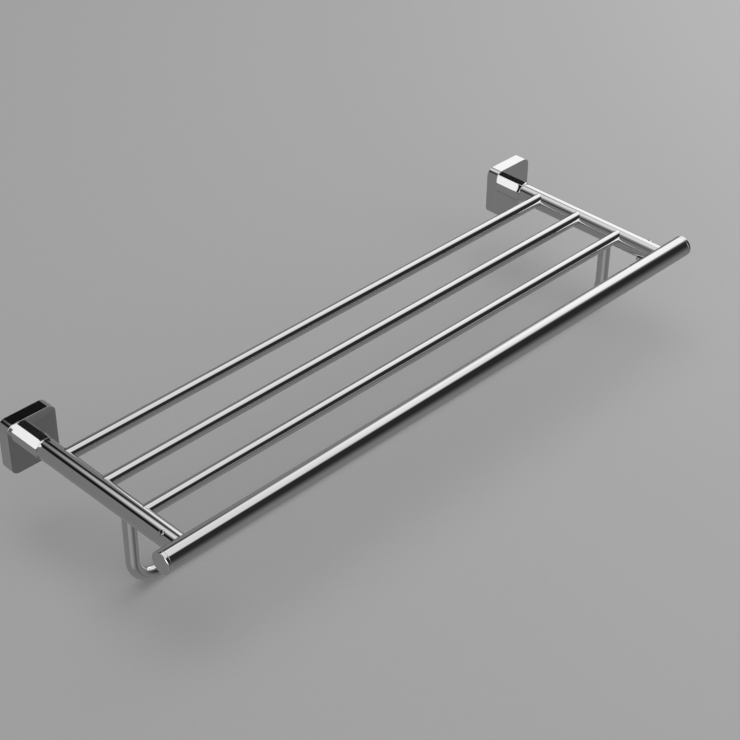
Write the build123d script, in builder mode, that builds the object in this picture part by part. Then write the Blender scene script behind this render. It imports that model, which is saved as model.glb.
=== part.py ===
"""Wall towel shelf: two plates and arms, three shelf rails, a thick front rail and a U shaped towel bar.

All sizes are in millimetres. X runs along the wall to the right, Z is up, and the room is on the -Y side.
The origin is on the wall, midway between the two plates and level with the arms. Each paired piece is
modelled on the right arm and mirrored for the left one.
"""

import os

from build123d import *

os.makedirs("parts", exist_ok=True)

# The whole rack
arm_spacing = 600.0  # between the centres of the two wall plates
rear_rail_reach = 52.0  # from the wall to the axis of the first shelf rail
rail_pitch = 50.0  # between the shelf rails
front_rail_gap = 55.7  # from the last shelf rail to the axis of the front rail
rail_rise = 3.4  # shelf rails above the axis of the arms
front_rail_rise = 3.8  # front rail above the axis of the arms
front_rail_overhang = 26.7  # from the axis of an arm to the outside of the end cap
towel_bar_setback = 72.1  # behind the axis of the front rail
towel_bar_drop = 80.0  # from the axis of the arms down to the axis of the bar

# Fits
slip_clearance = 0.05  # all round a plug, pin or thread in its hole
cope_clearance = 0.05  # between a tube's hollowed end and the tube it meets
through_clearance = 0.2  # all round a screw that passes through a plain hole

# Wall plate
plate_width = 49.0
plate_height = 50.2
plate_depth = 12.5
plate_side_wall = 2.5
plate_front_wall = 3.0
plate_corner = 7.5
plate_edge = 1.5

# Wall bracket, a bent steel channel inside the plate
bracket_width = 32.0
bracket_thickness = 2.0
bracket_reach = 7.5
bracket_bend = 1.0
bracket_corner = 1.5
bracket_clearance = 0.3
wall_hole_spacing = 26.0
wall_hole_diameter = 4.8

# Grub screw that locks the plate on the bracket
grub_diameter = 4.0
grub_recess = 0.4
grub_socket = 2.0  # across the corners of the hexagon
grub_socket_depth = 1.2

# Collar between the plate and the arm
collar_size = 19.8
collar_chamfer = 5.8
collar_length = 17.0
collar_edge = 0.5
collar_softening = 0.7  # radius of the eight long edges

# Arm tube and its two plugs
arm_diameter = 19.3
arm_wall = 1.5
arm_setback = 4.0  # the arm stops this far behind the axis of the front rail
rear_plug_length = 18.0
front_plug_length = 26.0
plug_edge = 0.5

# Bolt from inside the plate into the arm
bolt_diameter = 6.0
bolt_grip = 12.0
bolt_head_diameter = 10.0
bolt_head_height = 3.2
bolt_socket = 5.6
bolt_socket_depth = 2.0

# Shelf rails between the arms
rail_names = ("rear_rail", "middle_rail", "inner_front_rail")
rail_diameter = 11.8
rail_wall = 1.0

# Stepped pins that seat the rails and the bar in the arms
spigot_length = 15.0
spigot_nose_diameter = 6.0
spigot_nose_length = 5.0
spigot_shoulder_gap = 0.3

# Front rail, its threaded slugs, studs and end caps
front_rail_diameter = 20.3
front_rail_wall = 1.5
joint_groove = 0.25
insert_length = 20.0
stud_diameter = 6.0
stud_in_plug = 8.0
stud_in_insert = 11.0
cap_rim = 3.5
cap_edge = 0.6
cap_spigot_gap = 1.5  # between the cap's spigot and the threaded slug
cap_base = 4.0
cap_wall = 1.6

# Cross screw that holds the front plug in the arm
lock_setback = 19.2  # behind the end of the arm
lock_angle = 53.0  # degrees from +X towards +Z, the way its tip points on the right arm
lock_diameter = 5.0
lock_tip = 0.8
lock_tip_chamfer = 0.5
lock_head_diameter = 10.0
lock_head_height = 3.0
lock_head_edge = 0.6
lock_socket = 5.0
lock_socket_depth = 1.5

# Towel bar
bar_diameter = 12.0
bar_wall = 1.2
bar_bend = 25.0

# Worked out from the sizes above
arm_x = arm_spacing / 2
arm_radius = arm_diameter / 2
arm_bore = arm_radius - arm_wall
arm_start = plate_depth + collar_length
front_rail_reach = rear_rail_reach + (len(rail_names) - 1) * rail_pitch + front_rail_gap
arm_end = front_rail_reach - arm_setback
lock_reach = arm_end - lock_setback
towel_bar_reach = front_rail_reach - towel_bar_setback
rail_radius = rail_diameter / 2
front_radius = front_rail_diameter / 2
front_bore = front_radius - front_rail_wall
bar_radius = bar_diameter / 2
bracket_height = plate_height - 2 * plate_side_wall - 2 * bracket_clearance
cavity_depth = plate_depth - plate_front_wall
cap_inner_x = arm_x + front_rail_overhang - cap_rim
cap_spigot_length = front_rail_overhang - cap_rim - insert_length / 2 - cap_spigot_gap
rail_reaches = [rear_rail_reach + rail_pitch * number for number in range(len(rail_names))]


def square_to_arm(reach):
    """Plane across the right arm, facing the room, at a reach from the wall."""
    return Plane(origin=(arm_x, -reach, 0), x_dir=(1, 0, 0), z_dir=(0, -1, 0))


def along_wall(reach, rise, x=0):
    """Plane across a rail, facing right, at a reach from the wall and a rise above the arms."""
    return Plane(origin=(x, -reach, rise), x_dir=(0, 1, 0), z_dir=(1, 0, 0))


def keep(piece, name):
    """Labels a finished piece and writes its file."""
    piece.part.label = name
    export_step(piece.part, f"parts/{name}.step")
    return piece


def keep_pair(piece, name):
    """Writes a right hand piece and its mirror image for the left arm."""
    keep(piece, f"right_{name}")
    with BuildPart() as twin:
        mirror(piece.part, about=Plane.YZ)
    keep(twin, f"left_{name}")


def hex_socket(plane, size, depth):
    """Cuts a hexagonal key socket into the piece in hand, along the plane's normal."""
    with BuildSketch(plane) as socket:
        RegularPolygon(radius=size / 2, side_count=6)
    extrude(socket.sketch, amount=depth, mode=Mode.SUBTRACT)


def cope_to_front_rail():
    """Hollows the end of the piece in hand to the round back of the front rail."""
    with BuildSketch(along_wall(front_rail_reach, front_rail_rise, arm_x)) as round_back:
        Circle(front_radius + cope_clearance)
    extrude(round_back.sketch, amount=arm_diameter, both=True, mode=Mode.SUBTRACT)


def cope_to_arms(nearest, furthest):
    """Hollows the ends of the piece in hand to both arms, between two reaches from the wall."""
    with BuildSketch(Plane.XZ.offset(nearest)) as round_sides:
        with Locations((-arm_x, 0), (arm_x, 0)):
            Circle(arm_radius + cope_clearance)
    extrude(round_sides.sketch, amount=furthest - nearest, mode=Mode.SUBTRACT)


# Wall bracket: a channel whose two flanges point into the room, with the wall screw holes in its web
with BuildPart() as wall_bracket:
    with BuildSketch(Plane.YZ.offset(arm_x)):
        with Locations((-bracket_reach / 2, 0)):
            Rectangle(bracket_reach, bracket_height)
        with Locations((-(bracket_reach + bracket_thickness) / 2, 0)):
            hollow_height = bracket_height - 2 * bracket_thickness
            Rectangle(bracket_reach - bracket_thickness, hollow_height, mode=Mode.SUBTRACT)
    extrude(amount=bracket_width / 2, both=True)
    bends = wall_bracket.edges().filter_by(Axis.X).group_by(Axis.Y)
    fillet(bends[-2], bracket_bend)
    outer_bends = wall_bracket.edges().filter_by(Axis.X).group_by(Axis.Y)[-1]
    fillet(outer_bends, bracket_bend + bracket_thickness)
    flange_corners = wall_bracket.edges().filter_by(Axis.Z).group_by(Axis.Y)[0]
    fillet(flange_corners, bracket_corner)
    with BuildSketch(square_to_arm(0)):
        with GridLocations(0, wall_hole_spacing, 1, 2):
            Circle(wall_hole_diameter / 2)
    extrude(amount=bracket_thickness, mode=Mode.SUBTRACT)
keep_pair(wall_bracket, "wall_bracket")

# Wall plate: a hollow cover, open towards the wall, bored for the arm bolt and for the grub screw below
grub_reach = (bracket_bend + bracket_thickness + bracket_reach) / 2
with BuildPart() as wall_plate:
    with BuildSketch(square_to_arm(0)):
        RectangleRounded(plate_width, plate_height, plate_corner)
    extrude(amount=plate_depth)
    fillet(wall_plate.faces().sort_by(Axis.Y)[0].edges(), plate_edge)
    with BuildSketch(square_to_arm(0)):
        cavity_width = plate_width - 2 * plate_side_wall
        cavity_height = plate_height - 2 * plate_side_wall
        RectangleRounded(cavity_width, cavity_height, plate_corner - plate_side_wall)
    extrude(amount=cavity_depth, mode=Mode.SUBTRACT)
    with BuildSketch(square_to_arm(cavity_depth)):
        Circle(bolt_diameter / 2 + through_clearance)
    extrude(amount=plate_front_wall, mode=Mode.SUBTRACT)
    with BuildSketch(Plane(origin=(arm_x, -grub_reach, -plate_height / 2), z_dir=(0, 0, 1))):
        Circle(grub_diameter / 2 + slip_clearance)
    extrude(amount=plate_side_wall, mode=Mode.SUBTRACT)
keep_pair(wall_plate, "wall_plate")

# Grub screw: up through the plate's lower wall until its end presses on the bracket's lower flange
grub_foot = -plate_height / 2 + grub_recess
with BuildPart() as plate_grub_screw:
    with BuildSketch(Plane(origin=(arm_x, -grub_reach, grub_foot), z_dir=(0, 0, 1))):
        Circle(grub_diameter / 2)
    extrude(amount=-bracket_height / 2 - grub_foot)
    hex_socket(Plane(origin=(arm_x, -grub_reach, grub_foot), z_dir=(0, 0, 1)), grub_socket, grub_socket_depth)
keep_pair(plate_grub_screw, "plate_grub_screw")

# Collar: a short eight sided block, its long edges softened, bored for the arm bolt
with BuildPart() as collar:
    with BuildSketch(square_to_arm(plate_depth)) as collar_outline:
        Rectangle(collar_size, collar_size)
        chamfer(collar_outline.vertices(), collar_chamfer)
        fillet(collar_outline.vertices(), collar_softening)
    extrude(amount=collar_length)
    chamfer(collar.faces().sort_by(Axis.Y)[0].edges(), collar_edge)
    with BuildSketch(square_to_arm(plate_depth)):
        Circle(bolt_diameter / 2 + through_clearance)
    extrude(amount=collar_length, mode=Mode.SUBTRACT)
keep_pair(collar, "collar")

# Arm bolt: its head bears on the inside of the plate, its shank draws the collar and the arm against it
with BuildPart() as arm_bolt:
    with BuildSketch(square_to_arm(cavity_depth)):
        Circle(bolt_head_diameter / 2)
    extrude(amount=-bolt_head_height)
    with BuildSketch(square_to_arm(cavity_depth)):
        Circle(bolt_diameter / 2)
    extrude(amount=plate_front_wall + collar_length + bolt_grip)
    hex_socket(square_to_arm(cavity_depth - bolt_head_height), bolt_socket, bolt_socket_depth)
keep_pair(arm_bolt, "arm_bolt")

# Rear plug: a threaded slug in the wall end of the arm
with BuildPart() as arm_rear_plug:
    with BuildSketch(square_to_arm(arm_start)):
        Circle(arm_bore - slip_clearance)
        Circle(bolt_diameter / 2 + slip_clearance, mode=Mode.SUBTRACT)
    extrude(amount=rear_plug_length)
    chamfer(arm_rear_plug.faces().sort_by(Axis.Y)[0].outer_wire().edges(), plug_edge)
keep_pair(arm_rear_plug, "arm_rear_plug")

# Arm: a round tube, coped to the front rail and drilled for the rail pins, the bar pin and the cross screw
lock_plane = Plane(
    origin=(arm_x, -lock_reach, 0),
    x_dir=(0, 1, 0),
    z_dir=Vector(1, 0, 0).rotate(Axis.Y, -lock_angle),
)
with BuildPart() as arm:
    with BuildSketch(square_to_arm(arm_start)):
        Circle(arm_radius)
        Circle(arm_bore, mode=Mode.SUBTRACT)
    extrude(amount=arm_end - arm_start)
    cope_to_front_rail()
    with BuildSketch(along_wall(0, rail_rise, arm_x)):
        with Locations([(-reach, 0) for reach in rail_reaches]):
            Circle(spigot_nose_diameter / 2 + slip_clearance)
    extrude(amount=-arm_radius, mode=Mode.SUBTRACT)
    with BuildSketch(Plane(origin=(arm_x, -towel_bar_reach, 0), z_dir=(0, 0, -1))):
        Circle(spigot_nose_diameter / 2 + slip_clearance)
    extrude(amount=arm_radius, mode=Mode.SUBTRACT)
    with BuildSketch(lock_plane):
        Circle(lock_diameter / 2 + through_clearance)
    extrude(amount=arm_radius, both=True, mode=Mode.SUBTRACT)
keep_pair(arm, "arm")

# Front plug: a solid slug coped with the arm, tapped for the stud and crossed by the lock screw
with BuildPart() as arm_front_plug:
    with BuildSketch(square_to_arm(arm_end - front_plug_length)):
        Circle(arm_bore - slip_clearance)
    extrude(amount=front_plug_length)
    chamfer(arm_front_plug.faces().sort_by(Axis.Y)[-1].edges(), plug_edge)
    cope_to_front_rail()
    with BuildSketch(square_to_arm(arm_end)):
        Circle(stud_diameter / 2 + slip_clearance)
    extrude(amount=-(arm_end - front_rail_reach + front_radius + stud_in_plug), mode=Mode.SUBTRACT)
    with BuildSketch(lock_plane):
        Circle(lock_diameter / 2 + slip_clearance)
    extrude(amount=arm_radius, both=True, mode=Mode.SUBTRACT)
keep_pair(arm_front_plug, "arm_front_plug")

# Lock screw: a low headed cross screw, its head below on the shelf side, its tip above on the outside
with BuildPart() as lock_screw:
    head_seat = arm_radius + cope_clearance
    with BuildSketch(lock_plane.offset(-head_seat)):
        Circle(lock_diameter / 2)
    extrude(amount=head_seat + arm_radius + lock_tip)
    tip = lock_screw.faces().sort_by(Axis(lock_plane.origin, lock_plane.z_dir))[-1]
    chamfer(tip.edges(), lock_tip_chamfer)
    with BuildSketch(lock_plane.offset(-head_seat)):
        Circle(lock_head_diameter / 2)
    extrude(amount=-lock_head_height)
    head = lock_screw.faces().sort_by(Axis(lock_plane.origin, lock_plane.z_dir))[0]
    chamfer(head.edges(), lock_head_edge)
    hex_socket(lock_plane.offset(-head_seat - lock_head_height), lock_socket, lock_socket_depth)
keep_pair(lock_screw, "lock_screw")

# Rail stud: threaded into the front plug and into the slug inside the front rail
stud_root = front_rail_reach - front_radius - stud_in_plug
with BuildPart() as rail_stud:
    with BuildSketch(square_to_arm(stud_root)):
        Circle(stud_diameter / 2)
    extrude(amount=stud_in_plug + stud_in_insert)
keep_pair(rail_stud, "rail_stud")

# Rail insert: the threaded slug inside the front rail
with BuildPart() as rail_insert:
    with BuildSketch(along_wall(front_rail_reach, front_rail_rise, arm_x)):
        Circle(front_bore - slip_clearance)
    extrude(amount=insert_length / 2, both=True)
    chamfer(rail_insert.edges().filter_by(GeomType.CIRCLE), plug_edge)
    with BuildSketch(square_to_arm(front_rail_reach - front_radius)):
        Circle(stud_diameter / 2 + slip_clearance)
    extrude(amount=stud_in_insert + slip_clearance, mode=Mode.SUBTRACT)
keep_pair(rail_insert, "rail_insert")

# Shelf rails: plain tubes, coped at both ends to the round sides of the arms
for rail_name, rail_reach in zip(rail_names, rail_reaches):
    with BuildPart() as shelf_rail:
        with BuildSketch(along_wall(rail_reach, rail_rise)):
            Circle(rail_radius)
            Circle(rail_radius - rail_wall, mode=Mode.SUBTRACT)
        extrude(amount=arm_x, both=True)
        cope_to_arms(rail_reach - rail_diameter, rail_reach + rail_diameter)
    keep(shelf_rail, rail_name)

# Rail spigots: stepped pins, a thick body in the rail's end and a thin nose through the arm's wall
spigot_shoulder = arm_x - arm_radius - spigot_shoulder_gap
with BuildPart() as rail_spigots:
    with BuildSketch(along_wall(0, rail_rise, spigot_shoulder)):
        with Locations([(-reach, 0) for reach in rail_reaches]):
            Circle(rail_radius - rail_wall - slip_clearance)
    extrude(amount=-spigot_length)
    with BuildSketch(along_wall(0, rail_rise, spigot_shoulder)):
        with Locations([(-reach, 0) for reach in rail_reaches]):
            Circle(spigot_nose_diameter / 2)
    extrude(amount=spigot_nose_length)
keep_pair(rail_spigots, "rail_spigots")

# Front rail: a thick tube past both arms, with a small groove where each end cap meets it
with BuildPart() as front_rail:
    with BuildSketch(along_wall(front_rail_reach, front_rail_rise)):
        Circle(front_radius)
        Circle(front_bore, mode=Mode.SUBTRACT)
    extrude(amount=cap_inner_x, both=True)
    for end in (front_rail.faces().sort_by(Axis.X)[0], front_rail.faces().sort_by(Axis.X)[-1]):
        chamfer(end.outer_wire().edges(), joint_groove)
    with BuildSketch(Plane.XZ.offset(front_rail_reach - front_radius)):
        with Locations((-arm_x, 0), (arm_x, 0)):
            Circle(stud_diameter / 2 + through_clearance)
    extrude(amount=front_radius, mode=Mode.SUBTRACT)
keep(front_rail, "front_rail")

# End cap: a flat rim flush with the tube and a hollow spigot pressed into it
with BuildPart() as end_cap:
    with BuildSketch(along_wall(front_rail_reach, front_rail_rise, cap_inner_x)):
        Circle(front_radius)
    extrude(amount=cap_rim)
    chamfer(end_cap.faces().sort_by(Axis.X)[-1].edges(), cap_edge)
    chamfer(end_cap.faces().sort_by(Axis.X)[0].edges(), joint_groove)
    with BuildSketch(along_wall(front_rail_reach, front_rail_rise, cap_inner_x)):
        Circle(front_bore - slip_clearance)
    extrude(amount=-cap_spigot_length)
    with BuildSketch(along_wall(front_rail_reach, front_rail_rise, cap_inner_x - cap_spigot_length)):
        Circle(front_bore - slip_clearance - cap_wall)
    extrude(amount=cap_spigot_length - cap_base, mode=Mode.SUBTRACT)
keep_pair(end_cap, "end_cap")

# Towel bar: one tube bent to a U, its two legs coped to the undersides of the arms
with BuildPart() as towel_bar:
    with BuildLine(Plane.XZ.offset(towel_bar_reach)) as bar_path:
        FilletPolyline(
            (-arm_x, 0),
            (-arm_x, -towel_bar_drop),
            (arm_x, -towel_bar_drop),
            (arm_x, 0),
            radius=bar_bend,
        )
    with BuildSketch(Plane(origin=(-arm_x, -towel_bar_reach, 0), z_dir=(0, 0, -1))):
        Circle(bar_radius)
        Circle(bar_radius - bar_wall, mode=Mode.SUBTRACT)
    sweep(path=bar_path.wire())
    cope_to_arms(towel_bar_reach - bar_diameter, towel_bar_reach + bar_diameter)
keep(towel_bar, "towel_bar")

# Bar spigot: the same stepped pin, upright, between a leg of the towel bar and the arm above it
bar_spigot_plane = Plane(
    origin=(arm_x, -towel_bar_reach, -arm_radius - spigot_shoulder_gap),
    z_dir=(0, 0, 1),
)
with BuildPart() as bar_spigot:
    with BuildSketch(bar_spigot_plane):
        Circle(bar_radius - bar_wall - slip_clearance)
    extrude(amount=-spigot_length)
    with BuildSketch(bar_spigot_plane):
        Circle(spigot_nose_diameter / 2)
    extrude(amount=spigot_nose_length)
keep_pair(bar_spigot, "bar_spigot")
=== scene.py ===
# %% [markdown]
# # A chrome towel shelf, dressed for its portrait
# The solids arrive as a fixed frame, already in place and in metres. This lesson sets the camera, paints
# the studio round the shelf, gives every piece the finish of the real one, and remakes the small turned and
# cast pieces with soft edges. The frame is loaded first, and the box round its solids is kept for the
# floor, which lies just under it.

# %% Load the frame
import math

import bmesh
import bpy
from mathutils import Matrix, Vector


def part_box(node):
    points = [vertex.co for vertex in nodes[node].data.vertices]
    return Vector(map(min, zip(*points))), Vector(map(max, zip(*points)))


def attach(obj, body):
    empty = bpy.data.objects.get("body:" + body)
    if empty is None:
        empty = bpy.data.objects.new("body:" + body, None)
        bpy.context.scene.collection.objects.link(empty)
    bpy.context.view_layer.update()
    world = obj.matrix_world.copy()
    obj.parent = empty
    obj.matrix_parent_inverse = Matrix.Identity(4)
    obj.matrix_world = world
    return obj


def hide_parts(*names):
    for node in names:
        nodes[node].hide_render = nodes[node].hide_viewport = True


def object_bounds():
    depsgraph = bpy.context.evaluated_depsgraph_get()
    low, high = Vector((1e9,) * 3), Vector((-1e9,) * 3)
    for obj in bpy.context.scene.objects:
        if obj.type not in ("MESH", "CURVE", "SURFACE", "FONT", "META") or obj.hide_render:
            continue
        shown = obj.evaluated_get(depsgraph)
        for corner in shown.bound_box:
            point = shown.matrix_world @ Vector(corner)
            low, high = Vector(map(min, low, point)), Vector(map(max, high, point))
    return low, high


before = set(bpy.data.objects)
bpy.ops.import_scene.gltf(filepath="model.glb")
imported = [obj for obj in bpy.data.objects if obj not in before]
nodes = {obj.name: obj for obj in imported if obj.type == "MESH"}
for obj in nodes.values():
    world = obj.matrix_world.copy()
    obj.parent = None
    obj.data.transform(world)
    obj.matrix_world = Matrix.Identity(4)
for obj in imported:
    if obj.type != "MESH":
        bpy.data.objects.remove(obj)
cad_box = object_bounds()
scene = bpy.context.scene
scene.view_settings.view_transform = "Standard"  # tones stay as they are, with no film curve over them
print("pieces in the frame:", len(nodes))

# %% [markdown]
# ## The camera
# The photograph looks down on the shelf from its front left corner, at about 35 degrees, with a fairly long
# lens. Such a view is set either by a target and an angle or by the camera's own place and turn. The place
# and turn are used here, because they were solved from the edges of the plates and rails.

# %% Place the camera
camera_place = Vector((-0.9363, -1.0278, 0.9046))
camera_turn = math.radians(45.47)  # from straight at the wall towards the right
camera_dip = math.radians(35.48)  # below the horizon
camera_roll = math.radians(0.48)
lens_mm = 86.74
sensor_mm = 36.0
camera_reach = 50.0

camera_data = bpy.data.cameras.new("portrait_camera")
camera_data.lens = lens_mm
camera_data.sensor_width = sensor_mm
camera_data.clip_end = camera_reach
camera = bpy.data.objects.new("portrait_camera", camera_data)
scene.collection.objects.link(camera)
aim = Matrix.Rotation(-camera_turn, 4, "Z") @ Matrix.Rotation(math.pi / 2 - camera_dip, 4, "X")
camera.matrix_world = Matrix.Translation(camera_place) @ aim @ Matrix.Rotation(camera_roll, 4, "Z")
scene.camera = camera
print("camera looks along", [round(v, 3) for v in (camera.matrix_world.to_3x3() @ Vector((0, 0, -1)))])

# %% [markdown]
# ## Node maths in plain Python
# A procedural finish is a small calculation. Adding its nodes by hand hides the sum behind a tangle, so one
# class wraps a socket and turns +, -, * and / into Math nodes. Any other node comes from the single method
# `add`, which makes the node's settings first and then sets or links its sockets.


# %% The socket wrapper
class Wire:
    """A socket in a node tree, on which Python's operators add Math nodes."""

    def __init__(self, tree, socket):
        self.tree = tree
        self.socket = socket

    @staticmethod
    def add(tree, kind, settings=None, inputs=None, output=0):
        """Adds a node of this kind and wraps one of its outputs."""
        node = tree.nodes.new(kind)
        for name, value in (settings or {}).items():
            setattr(node, name, value)
        for name, value in (inputs or {}).items():
            if isinstance(value, Wire):
                tree.links.new(value.socket, node.inputs[name])
            else:
                node.inputs[name].default_value = value
        return Wire(tree, node.outputs[output] if node.outputs else None)

    def out(self, name):
        """Another output of the node that this socket belongs to."""
        return Wire(self.tree, self.socket.node.outputs[name])

    def math(self, operation, *values):
        """A Math node that reads this socket first and then these values."""
        inputs = {0: self, **dict(enumerate(values, 1))}
        return Wire.add(self.tree, "ShaderNodeMath", {"operation": operation}, inputs)

    def vector_math(self, operation, *values, output=0):
        """The same with a Vector Math node."""
        inputs = {0: self, **dict(enumerate(values, 1))}
        return Wire.add(self.tree, "ShaderNodeVectorMath", {"operation": operation}, inputs, output)

    def __add__(self, other):
        return self.math("ADD", other)

    __radd__ = __add__

    def __sub__(self, other):
        return self.math("SUBTRACT", other)

    def __rsub__(self, other):
        return (self * -1.0).math("ADD", other)

    def __mul__(self, other):
        return self.math("MULTIPLY", other)

    __rmul__ = __mul__

    def __truediv__(self, other):
        return self.math("DIVIDE", other)

    def rise(self, low, high):
        """0 below low, 1 above high, and a smooth rise between."""
        settings = {"interpolation_type": "SMOOTHSTEP"}
        inputs = {"Value": self, "From Min": low, "From Max": high}
        return Wire.add(self.tree, "ShaderNodeMapRange", settings, inputs)


# %% [markdown]
# ## The surroundings that the chrome mirrors
# Polished chrome has no colour of its own: its white and black lines are pictures of the studio. A studio
# is usually lit for chrome with a few large white cards and black flags. They could be lamps or planes, but
# a plane also stands in the way of the other views. So they are painted into the world by direction, each
# as a patch with soft edges, and a later patch covers an earlier one. Directions are degrees of compass, 0
# into the wall and 90 to the right, and degrees of height. The upper flag, behind the shelf, is what makes
# the left plate's top side black in the photograph.

# %% Paint the cards and flags
world = bpy.data.worlds.new("studio_cards")
scene.world = world
world.use_nodes = True
sky = world.node_tree
sky.nodes.clear()
direction = Wire.add(sky, "ShaderNodeTexCoord")
to_right = Wire.add(sky, "ShaderNodeSeparateXYZ", inputs={0: direction})
compass = to_right.math("ARCTAN2", to_right.out("Y")) * math.degrees(1)
height = to_right.out("Z").math("ARCSINE") * math.degrees(1)


def window(value, start, full, fading, gone):
    """1 between full and fading, 0 outside start and gone, and smooth between."""
    return value.rise(start, full) * (1.0 - value.rise(fading, gone))


open_room = 0.26
cards = {  # compass: start, full, fading, gone; height: the same; then brightness
    "overhead card": ((-34, -6, 128, 158), (46, 53, 95, 99), 1.05),
    "right card": ((38, 50, 90, 102), (8, 17, 42, 62), 1.45),
    "right card, foot": ((51, 56, 90, 102), (-8, 0, 12, 20), 1.45),
    "far flag": ((100, 116, 158, 166), (-34, 20, 46, 56), 0.03),
    "upper flag": ((-58, -42, 36, 42), (29, 34, 43, 49), 0.01),
    "near card": ((-200, -190, -112, -98), (8, 18, 50, 62), 2.2),
    "near card, far half": ((155, 163, 190, 200), (-4, 8, 50, 62), 2.2),
    "low glow": ((-166, -150, -120, -104), (-55, -45, -25, -15), 0.43),
    "low shade": ((143, 147, 172, 179), (-54, -44, -34, -30), 0.145),
}
tone = open_room
for reach_across, reach_up, level in cards.values():
    cover = window(compass, *reach_across) * window(height, *reach_up)
    tone = tone * (1.0 - cover) + cover * level
print("cards and flags:", len(cards), "in", len(sky.nodes), "nodes")

# %% [markdown]
# ## What the camera sees behind everything
# The cards must show in the chrome, but never in the picture's background. A backdrop sheet behind the
# shelf could hide them, but it would stand in the way from other sides. So the camera's own rays get a
# plain pale tone instead, close to that of the lit floor, and no horizon shows in a low view. The floor
# gets a little less of the cards and a wide glow from overhead, which puts the soft shadow straight under
# the shelf.

# %% Split the world between the camera, the floor and the chrome
backdrop_tone = 0.38
cards_on_floor = 0.64
overhead_glow = 1.65
glow_rise = (50, 75)  # degrees of height: where the glow starts and where it is full

camera_ray = Wire.add(sky, "ShaderNodeLightPath")
floor_ray = camera_ray.out("Is Diffuse Ray")
floor_light = tone * cards_on_floor + height.rise(*glow_rise) * overhead_glow
room = tone * (1.0 - floor_ray) + floor_light * floor_ray
seen = camera_ray * backdrop_tone + (1.0 - camera_ray) * room
Wire.add(sky, "ShaderNodeOutputWorld", inputs={
    "Surface": Wire.add(sky, "ShaderNodeBackground", inputs={"Color": seen, "Strength": 1.0})
})
print("backdrop tone", backdrop_tone, "and", len(sky.nodes), "nodes in the whole world")

# %% [markdown]
# ## Two helpers
# Every new piece needs a material with its own node tree and an object that carries a mesh. Both could be
# made with the operators behind Blender's menus, but those depend on what is selected. Asking for the data
# directly gives the same result each time.


# %% Helpers for materials and meshes
def new_material(name):
    """An empty material: its node tree and nothing else."""
    material = bpy.data.materials.new(name)
    material.use_nodes = True
    material.node_tree.nodes.clear()
    return material


def mesh_object(name, bm, material):
    """Turns a bmesh into a smooth shaded object at the origin, with its place in its mesh."""
    mesh = bpy.data.meshes.new(name)
    bm.to_mesh(mesh)
    bm.free()
    for face in mesh.polygons:
        face.use_smooth = True
    mesh.materials.append(material)
    piece = bpy.data.objects.new(name, mesh)
    scene.collection.objects.link(piece)
    return piece


# %% [markdown]
# ## The floor's paper
# The shelf lies in front of a plain pale sheet. One flat tone would do from afar, but paper has a fine
# fibre, so a fine noise changes the tone a little. The paper doesn't show in the chrome. Seen from below it
# is clear, so the underside can be looked at too, and its far rim fades into the background.

# %% Mix the floor's paper
floor_tone = 0.318
fibre_tone = 0.03  # between the darkest and the palest fibre
fibres_per_metre = 900.0
fibre_detail = 3.0
floor_fade = (3.0, 11.0)  # where the rim starts to fade and where it is gone

floor_paper = new_material("floor_paper")
tree = floor_paper.node_tree
place = Wire.add(tree, "ShaderNodeTexCoord").out("Object")
from_middle = place.vector_math("LENGTH", output="Value")
fibre = Wire.add(tree, "ShaderNodeTexNoise", inputs={
    "Vector": place, "Scale": fibres_per_metre, "Detail": fibre_detail
})
paper_tone = fibre * fibre_tone + (floor_tone - fibre_tone / 2)
paper = Wire.add(tree, "ShaderNodeBsdfDiffuse", inputs={"Color": paper_tone})
clear = Wire.add(tree, "ShaderNodeBsdfTransparent")
underside = Wire.add(tree, "ShaderNodeNewGeometry").out("Backfacing")
hidden = underside.math("MAXIMUM", from_middle.rise(*floor_fade))
shown = Wire.add(tree, "ShaderNodeMixShader", inputs={0: hidden, 1: paper, 2: clear})
Wire.add(tree, "ShaderNodeOutputMaterial", inputs={"Surface": shown})
print("paper fades between", floor_fade, "m")

# %% [markdown]
# ## The floor's sheet
# The sheet lies just under the lowest point of the towel bar. A square plane is the usual choice, but its
# corners show in a low view, so this one is a wide disc.

# %% Lay the floor
floor_gap = 0.0002
floor_radius = 12.0
floor_segments = 96
floor_height = cad_box[0][2] - floor_gap

bm = bmesh.new()
bmesh.ops.create_circle(bm, cap_ends=True, segments=floor_segments, radius=floor_radius)
bmesh.ops.translate(bm, verts=bm.verts[:], vec=(0, 0, floor_height))
bmesh.ops.recalc_face_normals(bm, faces=bm.faces[:])
bm.faces.ensure_lookup_table()
if bm.faces[0].normal.z < 0:  # a single flat face has no outside, so it may come out face down
    bmesh.ops.reverse_faces(bm, faces=bm.faces[:])
floor = mesh_object("floor", bm, floor_paper)
floor.visible_glossy = False
print("floor at", round(floor_height, 4))

# %% [markdown]
# ## One soft lamp
# The painted cards already light the floor from all round, which gives the soft dark line under each rail.
# In the photograph the floor also grows paler towards the right. A slope of tones in the paper could fake
# that, but it would stay when the view turns. One big lamp far out on that side does it as in a studio. It
# only fills: it casts no shadow, and it is hidden from glossy rays, so it adds nothing to the chrome.

# %% Hang the lamp
lamp_place = Vector((2.2, -0.8, 0.9))
lamp_target = Vector((0.2, -0.1, -0.1))
lamp_size = 1.2
lamp_power = 43.0

lamp_data = bpy.data.lights.new("right_lamp", "AREA")
lamp_data.shape = "SQUARE"
lamp_data.size = lamp_size
lamp_data.energy = lamp_power
lamp_data.use_shadow = False
lamp = bpy.data.objects.new("right_lamp", lamp_data)
scene.collection.objects.link(lamp)
lamp.location = lamp_place
lamp.rotation_mode = "QUATERNION"
lamp.rotation_quaternion = (lamp_target - lamp_place).to_track_quat("-Z", "Y")
lamp.visible_glossy = False
lamp.visible_camera = False
print("lamp", round((lamp_target - lamp_place).length, 2), "m from the floor that it lights")

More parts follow.
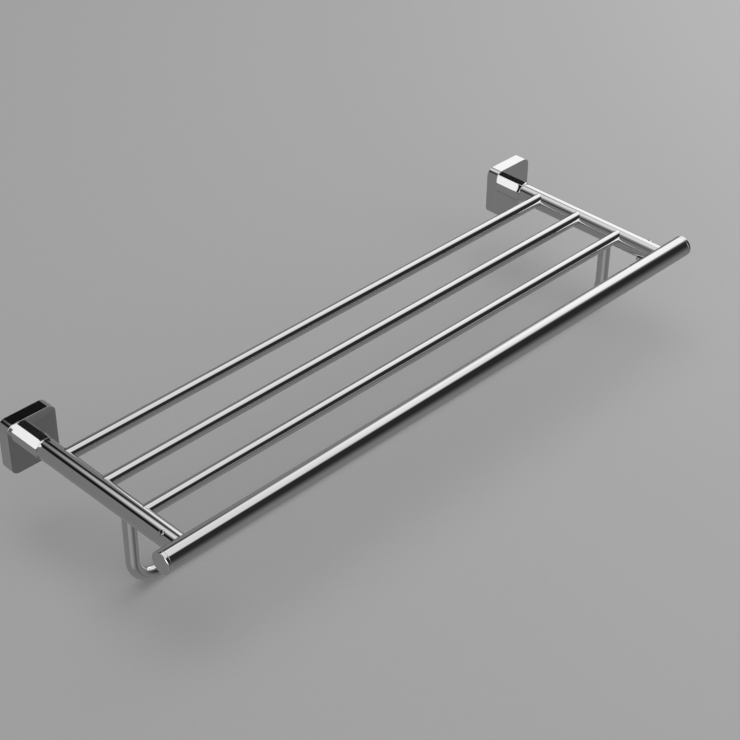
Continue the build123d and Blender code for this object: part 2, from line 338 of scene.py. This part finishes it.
# %% [markdown]
# ## A grey flag
# Photographers stand small grey boards beside a chrome piece to keep a bright card out of one part of it.
# In the photograph the far edge of the left arm stays grey, though the same white card shines in the rails.
# One more patch in the world could darken it, but the rails would mirror that patch too. So one board
# stands behind the shelf, where only the left arm sees it. It shows in reflections alone.

# %% Stand the flag
flag_middle = Vector((0.30, 0.57, 0.12))
flag_width = 0.23
flag_height = 1.1
flag_tone = 0.27
mottle_tone = 0.04  # between its darkest and its palest spot
mottles_per_metre = 6.0
flag_faces = Vector((-0.3, -0.1, 0.12))  # the left arm, at the flag's own height

flag_board = new_material("flag_board")
tree = flag_board.node_tree
place = Wire.add(tree, "ShaderNodeTexCoord").out("Object")
mottle = Wire.add(tree, "ShaderNodeTexNoise", inputs={"Vector": place, "Scale": mottles_per_metre})
board_tone = mottle * mottle_tone + (flag_tone - mottle_tone / 2)
board = Wire.add(tree, "ShaderNodeEmission", inputs={"Color": board_tone})
Wire.add(tree, "ShaderNodeOutputMaterial", inputs={"Surface": board})

bm = bmesh.new()
bmesh.ops.create_grid(bm, x_segments=1, y_segments=1, size=0.5)  # half a side
bmesh.ops.scale(bm, verts=bm.verts[:], vec=(flag_width, flag_height, 1))
flag_turn = (flag_faces - flag_middle).to_track_quat("Z", "Y").to_matrix().to_4x4()
bmesh.ops.transform(bm, verts=bm.verts[:], matrix=Matrix.Translation(flag_middle) @ flag_turn)
flag = mesh_object("grey_flag", bm, flag_board)
flag.visible_camera = False
flag.visible_diffuse = False
flag.visible_shadow = False
print("flag stands", round((flag_faces - flag_middle).length, 2), "m from the left arm")

# %% [markdown]
# ## What a metal finish is made of
# Every metal here is one Principled shader with three things that change over the surface: its colour, its
# roughness and a height that the light reads as small bumps. A picture could be wrapped round each piece,
# but it would need unwrapping and would blur up close. Instead a recipe works these out from the surface's
# own place, in metres, so a mark has its real size on every piece. The height is in metres too.


# %% Helpers for the metal finishes
def speckle(tree, place, scale, detail=2.0):
    """Soft noise between 0 and 1, with this many lumps to the metre."""
    return Wire.add(tree, "ShaderNodeTexNoise", inputs={"Vector": place, "Scale": scale, "Detail": detail})


def streaks(tree, place, lumps):
    """Noise drawn out along one direction: lumps to the metre along X, Y and Z."""
    return speckle(tree, place.vector_math("MULTIPLY", lumps), 1.0)


def blend(tree, share, first, second):
    """A colour between two, grey values or wires."""
    ends = {6: first, 7: second}  # the Mix node's two colours
    ends = {slot: (end, end, end, 1.0) if isinstance(end, float) else end for slot, end in ends.items()}
    return Wire.add(tree, "ShaderNodeMix", {"data_type": "RGBA"}, {0: share, **ends}, output=2)


def metal(name, recipe):
    """A metal whose recipe turns the surface's place into a colour, a roughness and a height."""
    material = new_material(name)
    tree = material.node_tree
    place = Wire.add(tree, "ShaderNodeTexCoord").out("Object")
    colour, roughness, height = recipe(tree, place)
    relief = Wire.add(tree, "ShaderNodeBump", inputs={"Height": height, "Distance": 1.0})
    shader = Wire.add(tree, "ShaderNodeBsdfPrincipled", inputs={
        "Base Color": colour, "Metallic": 1.0, "Roughness": roughness, "Normal": relief
    })
    Wire.add(tree, "ShaderNodeOutputMaterial", inputs={"Surface": shader})
    return material


# %% [markdown]
# ## Polished chrome
# The shelf is plated brass tube and castings. Plated chrome gives back about six tenths of the light, and
# it is never a perfect mirror: the metal under it was ground and buffed, which leaves hair lines along the
# tube and a slight ripple, and a hand has wiped it since. A plain low roughness gives none of that. So a
# cloudy film and the buffing lines each take a little from the polish, and the ripple goes to the bump.

# %% The chrome recipe
chrome_worn = 0.6  # under film and lines
chrome_clean = 0.635
clean_polish = 0.035
film_clouds = 9.0  # to the metre
film_detail = 4.0
film_edge = (0.3, 0.75)  # the part of the noise that becomes film
film_share = 0.7  # of the wear in the colour, and the lines have the rest
film_haze = 0.03
line_haze = 0.02
ripples_per_metre = 28.0
ripple_height = 0.00002
line_height = 0.0000001


def buffed(marks):
    """The chrome recipe over one pattern of buffing marks."""

    def recipe(tree, place):
        film = speckle(tree, place, film_clouds, film_detail).rise(*film_edge)
        lines = marks(tree, place)
        wear = film * film_share + lines * (1.0 - film_share)
        colour = blend(tree, wear, chrome_clean, chrome_worn)
        roughness = film * film_haze + lines * line_haze + clean_polish
        height = speckle(tree, place, ripples_per_metre) * ripple_height + lines * line_height
        return colour, roughness, height

    return recipe


print("chrome tones", chrome_worn, "to", chrome_clean, "roughness from", clean_polish)

# %% [markdown]
# ## Marks that follow the tubes
# A tube is buffed along its length while it turns slowly, so the lines run along it. The rails run across
# the wall, the arms away from it, and the towel bar does both: its run goes across and its legs go up. One
# pattern for all would be shorter, but it would cross the legs like a band of tape, so the bar changes
# pattern inside its bends.

# %% The tubes' chrome
line_spacing = 1100.0  # lumps to the metre across the lines
line_run = 5.0  # and along them
arm_offset = 0.3  # the arms stand this far from the middle
bend_radius = 0.025


def lines_across(tree, place):
    """Hair lines along X."""
    return streaks(tree, place, (line_run, line_spacing, line_spacing))


def lines_out(tree, place):
    """Hair lines along Y."""
    return streaks(tree, place, (line_spacing, line_run, line_spacing))


def lines_round_bar(tree, place):
    """Hair lines along X in the bar's run and along Z in its legs."""
    from_middle = Wire.add(tree, "ShaderNodeSeparateXYZ", inputs={0: place}).math("ABSOLUTE")
    leg = from_middle.rise(arm_offset - bend_radius, arm_offset - bend_radius / 4)
    upright = streaks(tree, place, (line_spacing, line_spacing, line_run))
    return upright * leg + lines_across(tree, place) * (1.0 - leg)


rail_chrome = metal("rail_chrome", buffed(lines_across))
arm_chrome = metal("arm_chrome", buffed(lines_out))
bar_chrome = metal("bar_chrome", buffed(lines_round_bar))


def dress(material, *names):
    """Gives carried-over solids their finish."""
    for name in names:
        for slot in nodes[name].material_slots:
            slot.material = material
    print(material.name, "on", ", ".join(names))


dress(rail_chrome, "rear_rail", "middle_rail", "inner_front_rail", "front_rail")
dress(arm_chrome, "right_arm", "left_arm")
dress(bar_chrome, "towel_bar")

# %% [markdown]
# ## Marks that follow a turned piece
# Plugs, caps, pins and screws come off a lathe, and the tool leaves fine rings round their axis. The
# distance from the axis gives the rings on an end face, and the place along it gives those on the side, so
# the noise reads both. An axis is a point and a direction. The right and the left piece could have a finish
# each. They share one, because the pattern reads the distance from the middle of the shelf instead of X.

# %% Rings round an axis
rings_per_metre = 2600.0


def ringed(point, along, spacing=rings_per_metre):
    """Marks of a lathe round an axis through this point of the right half."""
    axis = Vector(along).normalized()

    def marks(tree, place):
        apart = Wire.add(tree, "ShaderNodeSeparateXYZ", inputs={0: place})
        one_side = Wire.add(tree, "ShaderNodeCombineXYZ", inputs={
            0: apart.math("ABSOLUTE"), 1: apart.out("Y"), 2: apart.out("Z")
        })
        arm = one_side.vector_math("SUBTRACT", tuple(point))
        run = arm.vector_math("DOT_PRODUCT", tuple(axis), output="Value")
        reach = arm.vector_math("CROSS_PRODUCT", tuple(axis)).vector_math("LENGTH", output="Value")
        feed = Wire.add(tree, "ShaderNodeCombineXYZ", inputs={0: reach, 1: run})
        return speckle(tree, feed, spacing)

    return marks


# %% [markdown]
# ## The metals that hold it together
# Inside, nothing is polished. The bracket is zinc plated sheet with a rolled grain and a faint pattern of
# zinc crystals. Screws and bolts are zinc plated too, but turned. The pins and slugs that the tubes are
# pressed and screwed on are plain turned brass. They only show in the gaps and from behind, but a grey
# stand-in there would look like a hole in the work.

# %% The zinc and brass recipes
zinc_tones = (0.5, 0.66)
zinc_polish = 0.3
zinc_haze = 0.16
crystals_per_metre = 260.0
crystal_share = 0.6  # of the change in colour, and the tool marks have the rest
sheet_grain = (8.0, 700.0, 700.0)
brass_dark = (0.68, 0.49, 0.24, 1.0)
brass_light = (0.83, 0.67, 0.38, 1.0)
brass_polish = 0.2
brass_haze = 0.14
brass_rings = 1500.0  # to the metre
handled_spots = 120.0  # to the metre
handled_detail = 3.0
handled_edge = (0.4, 0.8)
feed_height = 0.000004


def zinc_plated(marks):
    """Zinc over steel: crystals of many greys, under the marks of the tool."""

    def recipe(tree, place):
        crystals = Wire.add(tree, "ShaderNodeTexVoronoi", inputs={
            "Vector": place, "Scale": crystals_per_metre
        }, output=1)
        shade = Wire.add(tree, "ShaderNodeSeparateXYZ", inputs={0: crystals})
        lines = marks(tree, place)
        colour = blend(tree, shade * crystal_share + lines * (1.0 - crystal_share), *zinc_tones)
        return colour, shade * zinc_haze + zinc_polish, lines * feed_height

    return recipe


def turned_brass(point, along):
    """Bare brass with bright feed rings, a little browner where it was handled."""

    def recipe(tree, place):
        rings = ringed(point, along, brass_rings)(tree, place)
        handled = speckle(tree, place, handled_spots, handled_detail).rise(*handled_edge)
        colour = blend(tree, rings * (1.0 - handled), brass_dark, brass_light)
        return colour, rings * brass_haze + brass_polish, rings * feed_height

    return recipe


def rolled(tree, place):
    """The grain of rolled sheet."""
    return streaks(tree, place, sheet_grain)


# %% [markdown]
# ## Who wears which metal
# Each turned piece needs rings round its own axis. One material per piece could do it, but pieces on one
# axis share theirs: all that sits in an arm turns round the arm's line, and what sits in the front rail
# round the rail's.

# %% Give the inner pieces their metals
arm_line = (arm_offset, 0.0, 0.0)
bar_leg_line = (arm_offset, -0.1356, 0.0)
front_line = (0.0, -0.2077, 0.0038)
along_arm, along_rail, along_leg = (0, 1, 0), (1, 0, 0), (0, 0, 1)

zinc_sheet = metal("zinc_sheet", zinc_plated(rolled))
zinc_screws = metal("zinc_screws", zinc_plated(ringed(arm_line, along_arm)))
arm_brass = metal("arm_brass", turned_brass(arm_line, along_arm))
rail_brass = metal("rail_brass", turned_brass(front_line, along_rail))
leg_brass = metal("leg_brass", turned_brass(bar_leg_line, along_leg))
turned_chrome = metal("turned_chrome", buffed(ringed(arm_line, along_arm)))
sides = {"right": 1, "left": -1}
for side in sides:
    dress(zinc_sheet, side + "_wall_bracket")
    dress(zinc_screws, side + "_plate_grub_screw", side + "_arm_bolt", side + "_rail_stud")
    dress(arm_brass, side + "_arm_rear_plug")
    dress(rail_brass, side + "_rail_insert", side + "_rail_spigots")
    dress(leg_brass, side + "_bar_spigot")
    dress(turned_chrome, side + "_arm_front_plug")

# %% [markdown]
# ## Tools for the small pieces
# The plates, collars, caps and cross screws are remade, because polished chrome shows every edge: a real
# one is softened by the buffing wheel, and that fine round is what draws it. A bevel modifier could round
# all edges of a piece alike, but each edge of the real one has its own round. So one tool turns a profile
# round a line, as a lathe does, and another rounds the edges that a test picks.

# %% Lathe and softened edges
mm = 0.001
hair = mm / 100  # points this close are in the same place
sharp_from = math.radians(40)


def turned(bm, profile, steps):
    """Spins a line of (height, radius) points, in millimetres, round Z."""
    points = [bm.verts.new((radius * mm, 0, height * mm)) for height, radius in profile]
    line = [bm.edges.new(pair) for pair in zip(points, points[1:])]
    bmesh.ops.spin(bm, geom=points + line, axis=(0, 0, 1), angle=2 * math.pi, steps=steps, use_merge=True)
    bmesh.ops.remove_doubles(bm, verts=bm.verts[:], dist=hair / 10)
    bmesh.ops.recalc_face_normals(bm, faces=bm.faces[:])


def round_off(bm, edges, radius, segments):
    """Bevels these edges to a round, its radius in millimetres."""
    bmesh.ops.bevel(bm, geom=edges, offset=radius * mm, offset_type="OFFSET", segments=segments, profile=0.5,
                    affect="EDGES", clamp_overlap=True, material=-1)


def soften(bm, radius, segments, wanted):
    """Rounds the sharp edges that the test picks."""
    sharp = [edge for edge in bm.edges if edge.is_manifold and edge.calc_face_angle() > sharp_from]
    round_off(bm, [edge for edge in sharp if wanted(edge)], radius, segments)


def on_level(edge, level):
    """Whether both ends of an edge have this height, in millimetres."""
    return all(abs(point.co.z - level * mm) < hair for point in edge.verts)


def on_ring(edge, level, radius):
    """Whether an edge also lies this far from Z, in millimetres."""
    return on_level(edge, level) and all(abs(point.co.xy.length - radius * mm) < hair for point in edge.verts)


# %% [markdown]
# ## A drill
# The plates have round holes for the bolt and the grub screw. A boolean cuts a hole in one line, but it
# leaves long thin faces, and a loose ring bridged to the outline of its own flat face can come out folded.
# So the drill insets a face on each side, lays the inset outline round the hole's line, and bridges the two
# rings through the wall.

# %% The drill
ring_inset_share = 0.1  # of the hole's radius


def wrapped(angle):
    """The same angle, between minus and plus half a turn."""
    return (angle + math.pi) % (2 * math.pi) - math.pi


def ring_in(bm, face, middle, axis, radius, cuts):
    """Insets a face and lays the inner outline round the axis, its points evenly spaced."""
    bmesh.ops.inset_region(bm, faces=[face], thickness=radius * mm * ring_inset_share)
    if cuts:
        bmesh.ops.bisect_edges(bm, edges=face.edges[:], cuts=cuts)
    points = [loop.vert for loop in face.loops]
    level = middle + axis * (points[0].co - middle).dot(axis)
    across = axis.orthogonal().normalized()
    over = axis.cross(across)
    turns = [math.atan2((point.co - level).dot(over), (point.co - level).dot(across)) for point in points]
    forward = sum(wrapped(after - before) for before, after in zip(turns, turns[1:])) > 0
    step = (1 if forward else -1) * 2 * math.pi / len(points)
    drift = [wrapped(turn - turns[0] - step * i) for i, turn in enumerate(turns)]
    start = turns[0] + sum(drift) / len(drift)
    for i, point in enumerate(points):
        angle = start + step * i
        point.co = level + (across * math.cos(angle) + over * math.sin(angle)) * radius * mm


def drill(bm, near, far, middle, axis, radius, cuts=0):
    """Cuts a round hole through two faces that lie across the axis."""
    for face in (near, far):
        ring_in(bm, face, middle, axis, radius, cuts)
    rings = near.edges[:] + far.edges[:]
    bmesh.ops.delete(bm, geom=[near, far], context="FACES_ONLY")
    bmesh.ops.bridge_loops(bm, edges=rings)


# %% [markdown]
# ## Into the frame
# A remade piece stands for one solid of the frame, at the same place. The object could be moved there, but
# every finish reads places from its object's origin, so its rings and lines would move off the piece's
# axis. So a matrix moves the mesh, and the object stays at the origin. Even shading makes the large flat
# faces win over the small round ones, so that a flat stays flat in its reflections.

# %% Put a piece in place
facing = 0.999  # cosine of the angle by which a face may miss a direction
smooth_below = math.radians(35)


def widest(bm, direction):
    """The largest face that looks this way."""
    looks = [face for face in bm.faces if face.normal.dot(Vector(direction)) > facing]
    return max(looks, key=lambda face: face.calc_area())


def fit_in_place(name, bm, material, node, place=None):
    """Moves the mesh to its place, makes it an object on the root body and hides the solid that it stands
    for.
    """
    if place:
        bmesh.ops.transform(bm, matrix=place, verts=bm.verts[:])
    bmesh.ops.recalc_face_normals(bm, faces=bm.faces[:])
    open_edges = sum(not edge.is_manifold for edge in bm.edges)
    piece = mesh_object(name, bm, material)
    piece.data.set_sharp_from_angle(angle=smooth_below)
    even = piece.modifiers.new("even_shading", "WEIGHTED_NORMAL")
    even.keep_sharp = True
    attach(piece, "root")
    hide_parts(node)
    size = [round(v / mm, 2) for v in piece.dimensions]
    print(name, len(piece.data.polygons), "faces,", open_edges, "open edges, size in mm", size)


# %% [markdown]
# ## The plates' finish
# A plate is a casting. Outside it is buffed chrome. Inside, where no wheel reaches, the casting's own skin
# shows: dull and pebbly. Two materials on one mesh could part them, but a test of the place inside one
# material is enough: what lies within the pocket's walls gets the skin.

# %% The plates' chrome
plate_half = Vector((0.0245, 0, 0.0251))  # in metres, as a finish reads places
plate_wall = 0.0025
plate_front = 0.003
plate_reach = 0.0125
pocket_slack = 0.0002
skin_tone = 0.42
skin_haze = 0.5
pebbles_per_metre = 1400.0
pebble_detail = 3.0
pebble_haze = 0.2
pebble_height = 0.00004


def cast_cover(tree, place):
    """Buffed outside, cast skin in the pocket."""
    parts = Wire.add(tree, "ShaderNodeSeparateXYZ", inputs={0: place.vector_math("ABSOLUTE")})
    off_centre = (parts - arm_offset).math("ABSOLUTE")
    pocket = off_centre.math("LESS_THAN", plate_half.x - plate_wall + pocket_slack)
    pocket = pocket * parts.out("Z").math("LESS_THAN", plate_half.z - plate_wall + pocket_slack)
    pocket = pocket * parts.out("Y").math("LESS_THAN", plate_reach - plate_front + pocket_slack)
    colour, roughness, height = buffed(lines_across)(tree, place)
    pebbles = speckle(tree, place, pebbles_per_metre, pebble_detail)
    colour = blend(tree, pocket, colour, skin_tone)
    roughness = roughness * (1.0 - pocket) + pocket * (pebbles * pebble_haze + skin_haze)
    height = height * (1.0 - pocket) + pocket * pebbles * pebble_height
    return colour, roughness, height


cover_chrome = metal("cover_chrome", cast_cover)
print(cover_chrome.name, "has", len(cover_chrome.node_tree.nodes), "nodes")

# %% [markdown]
# ## The wall plates
# Each plate is a hollow cover, open towards the wall. It could be a sheet given thickness, but this
# casting's front is thicker than its sides. So it starts as a block. Four rounded corners come first, as a
# bevel of the edges that run out from the wall. The pocket is an inset of the back face, then the same face
# sunk. The photograph shows a crisp front edge with no white line along it, so the buffed round is well
# under a millimetre.

# %% Make the plates
plate_corner = 7.5  # in millimetres, like all edges, holes and turned sizes below
corner_segments = 12
front_edge = 0.35
front_segments = 3
rim_edge = 0.2
rim_segments = 2
bolt_hole = 3.2
grub_hole = 2.05
grub_cuts = 5  # in each side of the inset, which makes a ring of 24 points
bolt_clear = 0.01  # metres: an edge further from the bolt than this belongs to the outline


def wall_plate(turn):
    """A cover over the bracket, in the shelf's own place."""
    bolt_line = Vector((turn * arm_offset, 0, 0))
    bm = bmesh.new()
    bmesh.ops.create_cube(bm, size=1.0)
    bmesh.ops.scale(bm, vec=(2 * plate_half.x, plate_reach, 2 * plate_half.z), verts=bm.verts[:])
    bmesh.ops.translate(bm, vec=bolt_line - Vector((0, plate_reach / 2, 0)), verts=bm.verts[:])
    outward = [edge for edge in bm.edges if abs((edge.verts[0].co - edge.verts[1].co).y) > plate_reach / 2]
    round_off(bm, outward, plate_corner, corner_segments)
    back = widest(bm, (0, 1, 0))
    bmesh.ops.inset_region(bm, faces=[back], thickness=plate_wall, use_even_offset=True)
    bmesh.ops.inset_region(bm, faces=[back], thickness=0.0, depth=plate_front - plate_reach)
    drill(bm, widest(bm, (0, -1, 0)), back, bolt_line, Vector((0, 1, 0)), bolt_hole)
    grub_low, grub_high = (Vector(corner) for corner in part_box("right_plate_grub_screw"))
    grub = (grub_low + grub_high) / 2
    level_faces = [face for face in bm.faces if abs(face.normal.z) > facing]
    outer, inner = sorted(level_faces, key=lambda face: face.calc_center_median().z)[:2]
    drill(bm, outer, inner, Vector((turn * grub.x, grub.y, 0)), Vector((0, 0, 1)), grub_hole, grub_cuts)

    def outline(edge, reach):
        """Whether an edge belongs to the outline that lies this far from the wall."""
        off_bolt = (edge.verts[0].co + edge.verts[1].co) / 2 - bolt_line
        in_plane = all(abs(point.co.y + reach) < hair for point in edge.verts)
        return in_plane and max(abs(off_bolt.x), abs(off_bolt.z)) > bolt_clear

    soften(bm, front_edge, front_segments, lambda edge: outline(edge, plate_reach))
    soften(bm, rim_edge, rim_segments, lambda edge: outline(edge, 0))
    return bm


for side, turn in sides.items():
    fit_in_place(side + "_plate_cover", wall_plate(turn), cover_chrome, side + "_wall_plate")

# %% [markdown]
# ## The collars
# A collar is a short length of eight sided bar between the plate and the arm. Its flats lie level, upright
# and halfway between, which gives the one pure white face in the photograph beside a pure black one. It
# could be an eight sided circle drawn out and drilled. It is a profile spun in eight steps instead of many,
# because that makes outside and bore at once. The long edges of the bore are rounded so far that the bore
# comes out round. The outer ones are only softened, and the front rim is just broken.

# %% Make the collars
collar_sides = 8
collar_flats = 19.8
collar_run = 17.0
collar_bore = 3.2
bore_round = 1.31  # just under half a side of the bore, so that its sides become one round
bore_segments = 4
long_edge = 0.29
long_segments = 4
broken_edge = 0.2
broken_segments = 2
to_corner = 1 / math.cos(math.pi / collar_sides)  # times half the width over the flats gives a corner's reach
bore_corner = collar_bore * to_corner
outer_corner = collar_flats / 2 * to_corner
collar_profile = (
    (0, bore_corner), (0, outer_corner),
    (collar_run, outer_corner), (collar_run, bore_corner), (0, bore_corner),
)


def collar():
    """Eight sided outside, bored round, standing on its plate end."""
    bm = bmesh.new()
    turned(bm, collar_profile, collar_sides)

    def upright(edge):
        return abs((edge.verts[0].co - edge.verts[1].co).z) > mm

    def outside(edge):
        return all(point.co.xy.length > collar_flats / 2 * mm for point in edge.verts)

    soften(bm, bore_round, bore_segments, lambda edge: upright(edge) and not outside(edge))
    soften(bm, long_edge, long_segments, lambda edge: upright(edge) and outside(edge))
    soften(bm, broken_edge, broken_segments, lambda edge: on_level(edge, collar_run) and outside(edge))
    return bm


flat_up = Matrix.Rotation(math.pi / collar_sides, 4, "Z")
away_from_wall = Matrix.Rotation(math.pi / 2, 4, "X")
collar_chrome = metal("collar_chrome", buffed(lines_out))
for side, turn in sides.items():
    place = Matrix.Translation((turn * arm_offset, -plate_reach, 0)) @ away_from_wall @ flat_up
    fit_in_place(side + "_collar_block", collar(), collar_chrome, side + "_collar", place)

# %% [markdown]
# ## The end caps
# A cap closes each end of the front rail: a thick disc as wide as the tube, with a hollow spigot that is
# pressed in. A disc alone would look the same from outside, but the lathe makes disc and spigot from one
# profile. Where the disc meets the tube a tiny groove stays, which is the thin line in the photograph. The
# outer edge is rounded more, so the light rolls over it.

# %% Make the caps
lathe_steps = 96
cap_radius = 10.15  # as the front rail's
cap_rim = 3.5
cap_joint = 323.2  # from the middle of the shelf
spigot_radius = 8.6
spigot_run = 11.7
spigot_bore = 7.0
spigot_floor = 4.0
cap_edge = 0.9
cap_segments = 5
joint_edge = 0.25
joint_segments = 2
cap_profile = (
    (-spigot_floor, 0), (-spigot_floor, spigot_bore), (-spigot_run, spigot_bore),
    (-spigot_run, spigot_radius), (0, spigot_radius), (0, cap_radius), (cap_rim, cap_radius), (cap_rim, 0),
)


def end_cap():
    """A disc with a hollow spigot, its outer face up."""
    bm = bmesh.new()
    turned(bm, cap_profile, lathe_steps)
    soften(bm, cap_edge, cap_segments, lambda edge: on_ring(edge, cap_rim, cap_radius))
    soften(bm, joint_edge, joint_segments, lambda edge: on_ring(edge, 0, cap_radius))
    return bm


def pointing(direction):
    """The turn that brings Z to this direction."""
    return Vector(direction).to_track_quat("Z", "Y").to_matrix().to_4x4()


rail_cap_chrome = metal("rail_cap_chrome", buffed(ringed(front_line, along_rail)))
for side, turn in sides.items():
    place = Matrix.Translation((turn * cap_joint * mm, front_line[1], front_line[2])) @ pointing((turn, 0, 0))
    fit_in_place(side + "_rail_cap", end_cap(), rail_cap_chrome, side + "_end_cap", place)

# %% [markdown]
# ## The cross screws
# A screw crosses each arm near its front end and holds the plug inside. Its low round head sits below, on
# the shelf side, with a hexagon for the key, and its tip just shows above on the outside: the two bright
# spots in the photograph. The lathe makes the body. The socket could be cut with a six sided bar. It is an
# inset of the head's face instead: its outline is drawn onto a hexagon, and the face inside is sunk.

# %% Make the cross screws
screw_steps = 48
screw_tip = 10.25
screw_radius = 2.5
screw_seat = -9.7
screw_head = -12.7
screw_head_radius = 5.0
head_round = 1.7
head_segments = 7
tip_round = 0.5
tip_segments = 3
socket_side = math.pi / 3  # the turn from one corner of the hexagon to the next
socket_reach = 2.5  # to its corners
socket_depth = 1.5
socket_rim = 3.2
socket_inset = 0.1
screw_lean = math.radians(53)  # above the level, pointing away from the shelf
screw_place = -0.1845
screw_profile = (
    (screw_tip, 0), (screw_tip, screw_radius), (screw_seat, screw_radius), (screw_seat, screw_head_radius),
    (screw_head, screw_head_radius), (screw_head, socket_rim),
)


def cross_screw():
    """Tip up, head and socket down."""
    bm = bmesh.new()
    turned(bm, screw_profile, screw_steps)
    rim = [edge for edge in bm.edges if edge.is_boundary]
    socket = bmesh.ops.edgeloop_fill(bm, edges=rim)["faces"][0]
    bmesh.ops.recalc_face_normals(bm, faces=bm.faces[:])
    bmesh.ops.inset_region(bm, faces=[socket], thickness=socket_inset * mm)
    for point in socket.verts:
        off_middle = math.atan2(point.co.y, point.co.x) % socket_side - socket_side / 2
        reach = socket_reach * math.cos(socket_side / 2) / math.cos(off_middle)
        point.co.xy = point.co.xy.normalized() * reach * mm
    bmesh.ops.inset_region(bm, faces=[socket], thickness=0.0, depth=-socket_depth * mm)
    soften(bm, head_round, head_segments, lambda edge: on_ring(edge, screw_head, screw_head_radius))
    soften(bm, tip_round, tip_segments, lambda edge: on_ring(edge, screw_tip, screw_radius))
    return bm


lean_x, lean_z = math.cos(screw_lean), math.sin(screw_lean)
screw_marks = ringed((arm_offset, screw_place, 0), (lean_x, 0, lean_z))
cross_screw_chrome = metal("cross_screw_chrome", buffed(screw_marks))
for side, turn in sides.items():
    place = Matrix.Translation((turn * arm_offset, screw_place, 0)) @ pointing((turn * lean_x, 0, lean_z))
    node = side + "_lock_screw"
    fit_in_place(side + "_cross_screw", cross_screw(), cross_screw_chrome, node, place)
